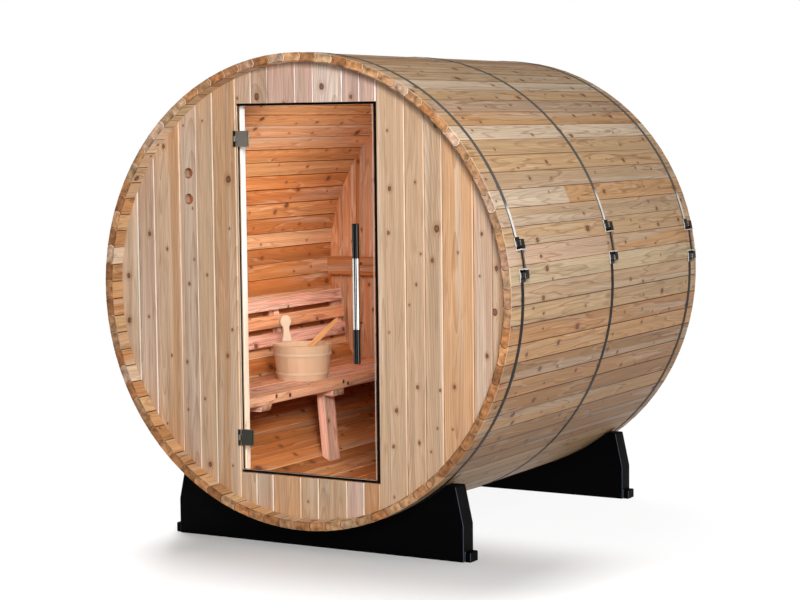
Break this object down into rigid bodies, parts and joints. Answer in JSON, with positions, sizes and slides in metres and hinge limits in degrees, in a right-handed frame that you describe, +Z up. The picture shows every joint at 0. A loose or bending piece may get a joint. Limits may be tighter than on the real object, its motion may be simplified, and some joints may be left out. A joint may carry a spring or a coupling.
{
  "type": "barrel sauna",
  "caption": "Horizontal barrel of cedar staves on two moulded cradles, with recessed plank ends, a hinged glass door, steel hoop bands and a slatted bench inside.",
  "frame": {"origin": "on the ground under the middle of the barrel", "axes": "+Z up, -Y out of the front wall with the door, +X to the right as one faces the front"},
  "size_m": [1.856, 1.778, 1.9163],
  "materials": {
    "cedar": "planed, natural, knotty",
    "cedar_inside": "planed, natural, warmer",
    "clear_glass": "clear toughened",
    "seal_rubber": "black",
    "hinge_metal": "satin",
    "chrome": "polished",
    "grip_plastic": "black",
    "band_steel": "plain strip",
    "zinc_steel": "zinc plated",
    "cradle_plastic": "black moulded",
    "pine": "light, planed",
    "ladle_wood": "oiled"
  },
  "bodies": {
    "sauna": {"stave_panel_01": "cedar", "stave_panel_02": "cedar", "stave_panel_03": "cedar", "stave_panel_04": "cedar", "stave_panel_05": "cedar", "stave_panel_06": "cedar", "stave_panel_07": "cedar", "stave_panel_08": "cedar", "stave_panel_09": "cedar", "stave_panel_10": "cedar", "stave_panel_11": "cedar", "stave_panel_12": "cedar", "stave_panel_13": "cedar", "stave_panel_14": "cedar", "stave_panel_15": "cedar", "stave_panel_16": "cedar", "front_wall_left": "cedar", "front_wall_right": "cedar", "front_wall_top": "cedar", "front_wall_bottom": "cedar", "back_wall": "cedar", "back_wall_batten": "cedar_inside", "door_frame": "cedar_inside", "door_seal": "seal_rubber", "hinge_wall_leaves": "hinge_metal", "front_band": "band_steel", "middle_band": "band_steel", "rear_band": "band_steel", "front_band_tensioner": "zinc_steel", "middle_band_tensioner": "zinc_steel", "rear_band_tensioner": "zinc_steel", "front_cradle": "cradle_plastic", "rear_cradle": "cradle_plastic", "bench_seat_slats": "cedar_inside", "bench_bearers": "cedar_inside", "bench_leg": "cedar_inside", "backrest_slats": "cedar_inside", "backrest_supports": "cedar_inside", "water_bucket": "pine", "bucket_hoops": "pine", "bucket_ladle": "ladle_wood"},
    "door": {"door_glass": "clear_glass", "hinge_glass_clamps": "hinge_metal", "handle_tube": "chrome", "handle_grips": "grip_plastic"}
  },
  "joints": [
    {"name": "door_swing", "type": "hinge", "parent": "sauna", "child": "door", "pos_m": [-0.316, -0.829, 1], "axis": [0, 0, -1], "range_deg": [0, 100]}
  ]
}
